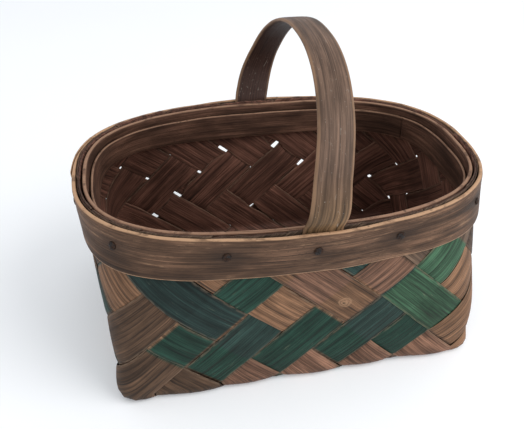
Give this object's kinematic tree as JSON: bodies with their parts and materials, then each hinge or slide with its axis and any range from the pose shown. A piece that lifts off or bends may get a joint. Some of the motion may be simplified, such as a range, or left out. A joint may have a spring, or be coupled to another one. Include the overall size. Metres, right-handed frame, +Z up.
{
  "type": "plaited splint gathering basket",
  "caption": "Oblong wood-splint basket, plaited on the bias, with bent rim hoops nailed over the splint ends and a fixed bow handle.",
  "frame": {"origin": "centre of the rim oval dropped to the ground, on the underside of the plaited base", "axes": "+X along the basket's length, -Y towards the front long wall, +Z up"},
  "size_m": [0.4016, 0.2757, 0.3077],
  "materials": {
    "aged_splint": "bare split wood, dry and weathered brown with open grain",
    "painted_splint": "split wood with worn dark green paint on its outer floats, bare brown elsewhere",
    "hoop_wood": "bent grey-brown wood, scuffed, with worn pale edges",
    "handle_wood": "smooth handled grey-brown bent wood with lengthwise grain",
    "iron_nail": "dark rusted nail heads"
  },
  "bodies": {
    "root": {"splint_a_01": "aged_splint", "splint_a_02": "aged_splint", "splint_a_03": "aged_splint", "splint_a_04": "painted_splint", "splint_a_05": "aged_splint", "splint_a_06": "painted_splint", "splint_a_07": "painted_splint", "splint_a_08": "aged_splint", "splint_a_09": "aged_splint", "splint_b_01": "painted_splint", "splint_b_02": "painted_splint", "splint_b_03": "painted_splint", "splint_b_04": "painted_splint", "splint_b_05": "aged_splint", "splint_b_06": "painted_splint", "splint_b_07": "aged_splint", "splint_b_08": "aged_splint", "splint_b_09": "aged_splint", "rim_hoop_outer": "hoop_wood", "rim_hoop_inner": "hoop_wood", "rim_band_inner": "hoop_wood", "handle_bow": "handle_wood", "rim_nail_01": "iron_nail", "rim_nail_02": "iron_nail", "rim_nail_03": "iron_nail", "rim_nail_04": "iron_nail", "rim_nail_05": "iron_nail", "rim_nail_06": "iron_nail", "rim_nail_07": "iron_nail", "rim_nail_08": "iron_nail", "rim_nail_09": "iron_nail", "rim_nail_10": "iron_nail", "rim_nail_11": "iron_nail", "rim_nail_12": "iron_nail"}
  },
  "joints": []
}
